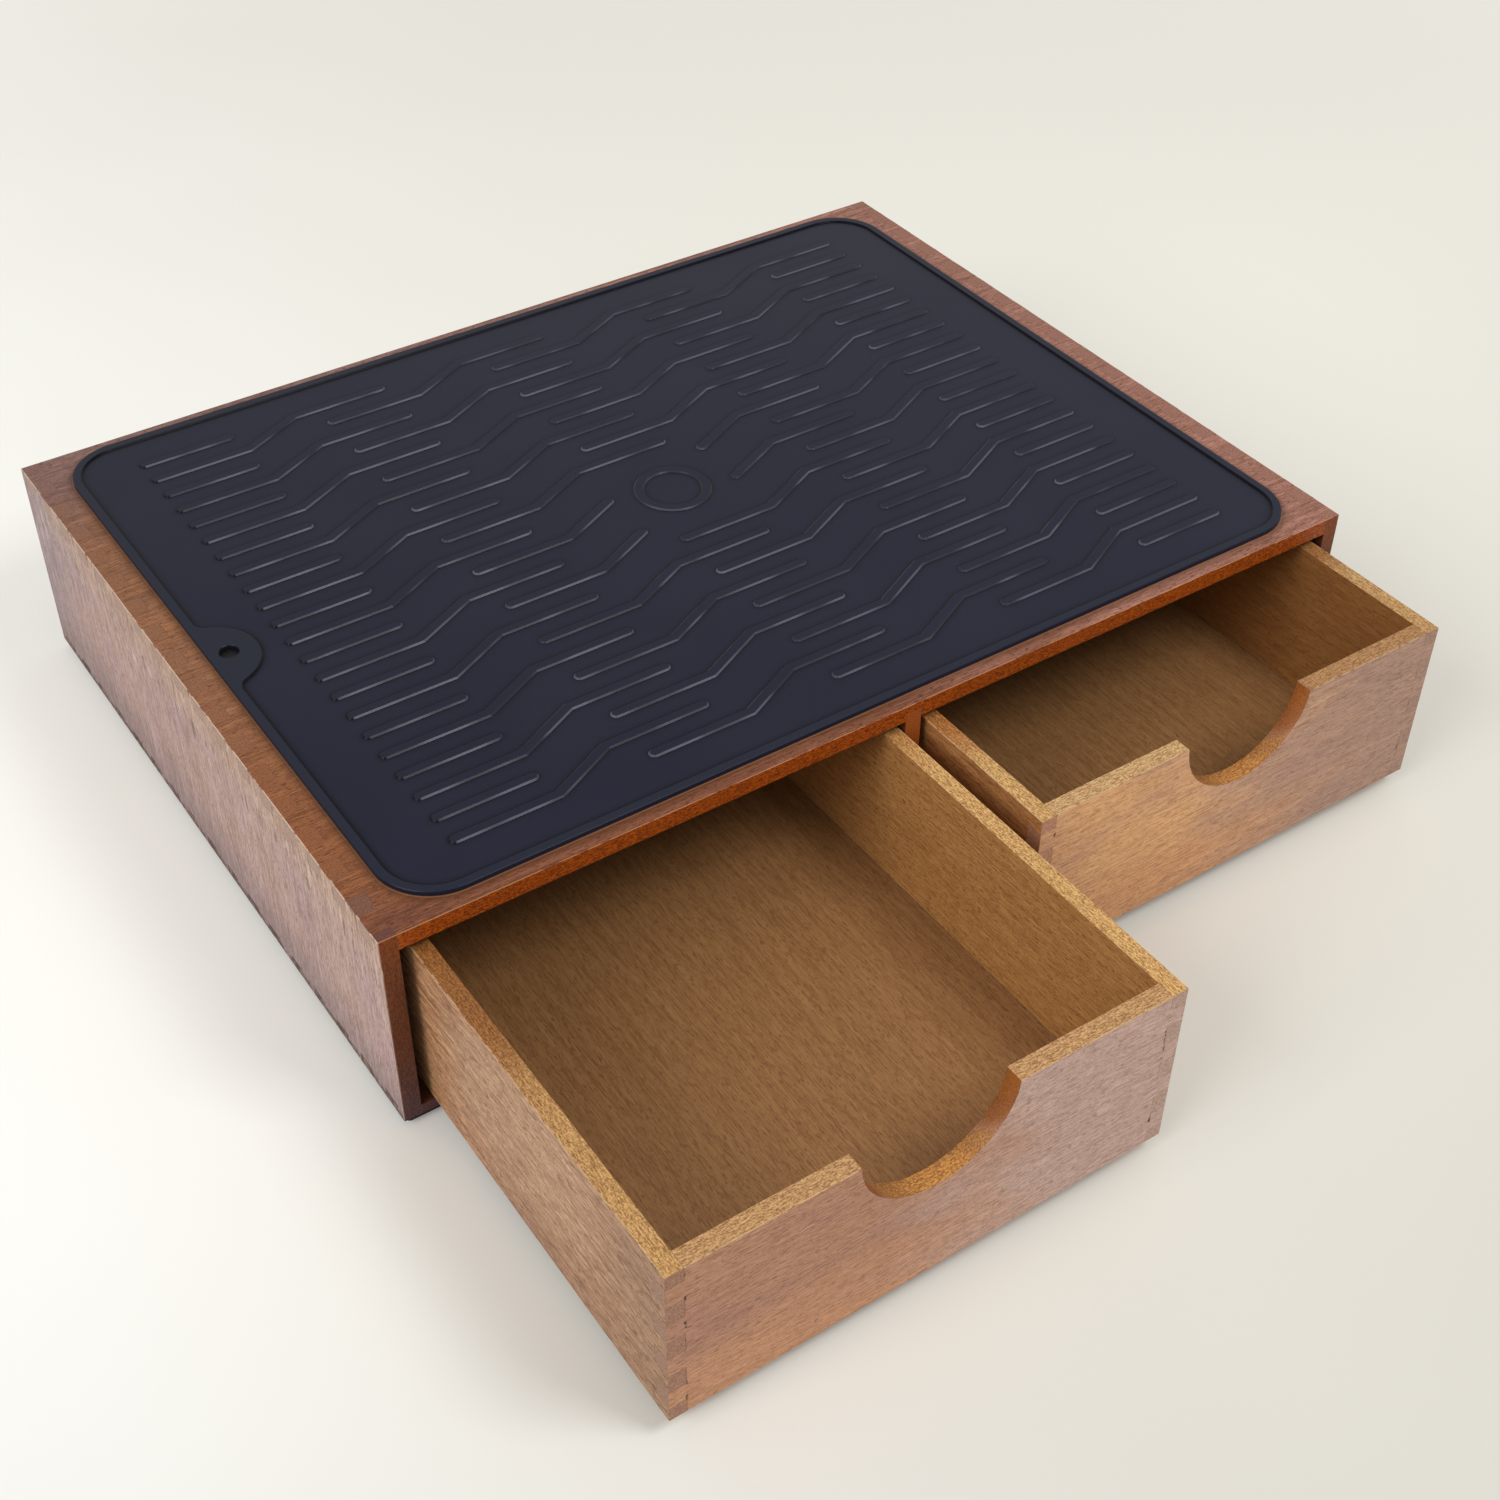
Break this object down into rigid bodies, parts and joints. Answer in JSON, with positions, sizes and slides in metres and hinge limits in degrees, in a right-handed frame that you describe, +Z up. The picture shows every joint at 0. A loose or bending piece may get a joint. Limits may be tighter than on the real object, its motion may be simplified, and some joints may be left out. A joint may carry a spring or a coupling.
{
  "type": "coffee pod drawer",
  "caption": "Low wooden stand with side-by-side sliding trays for coffee pods, finger-jointed corners, scooped fronts and a ribbed silicone mat on top for a coffee machine.",
  "frame": {"origin": "on the worktop that the feet stand on, below the middle of the boards: midway between the side boards and between the front edges and the back", "axes": "+X along the front to the right, +Y to the back, +Z up; the drawers open toward -Y"},
  "size_m": [0.49, 0.5425, 0.1074],
  "materials": {
    "cabinet_wood": "satin stained wood, orange brown, grain along the width",
    "side_wood": "satin stained wood, pale pinkish brown, upright grain",
    "drawer_wood": "satin stained wood, tan, grain along each board",
    "panel_wood": "satin plywood",
    "foot_rubber": "matt moulded rubber",
    "mat_silicone": "matt moulded silicone"
  },
  "bodies": {
    "cabinet": {"top_board": "cabinet_wood", "left_side_board": "side_wood", "right_side_board": "side_wood", "bottom_board": "cabinet_wood", "back_board": "cabinet_wood", "centre_divider": "cabinet_wood", "front_left_foot": "foot_rubber", "front_right_foot": "foot_rubber", "back_left_foot": "foot_rubber", "back_right_foot": "foot_rubber"},
    "left_drawer": {"left_drawer_front": "drawer_wood", "left_drawer_back": "drawer_wood", "left_drawer_left_side": "drawer_wood", "left_drawer_right_side": "drawer_wood", "left_drawer_bottom": "panel_wood"},
    "right_drawer": {"right_drawer_front": "drawer_wood", "right_drawer_back": "drawer_wood", "right_drawer_left_side": "drawer_wood", "right_drawer_right_side": "drawer_wood", "right_drawer_bottom": "panel_wood"},
    "mat": {"silicone_mat": "mat_silicone"}
  },
  "joints": [
    {"name": "left_drawer_slide", "type": "slide", "parent": "cabinet", "child": "left_drawer", "axis": [0, -1, 0], "range_m": [-0.1725, 0.1275]},
    {"name": "right_drawer_slide", "type": "slide", "parent": "cabinet", "child": "right_drawer", "axis": [0, -1, 0], "range_m": [-0.0745, 0.2255]},
    {"name": "mat_lift", "type": "slide", "parent": "cabinet", "child": "mat", "axis": [0, 0, 1], "range_m": [0, 0.05]}
  ]
}
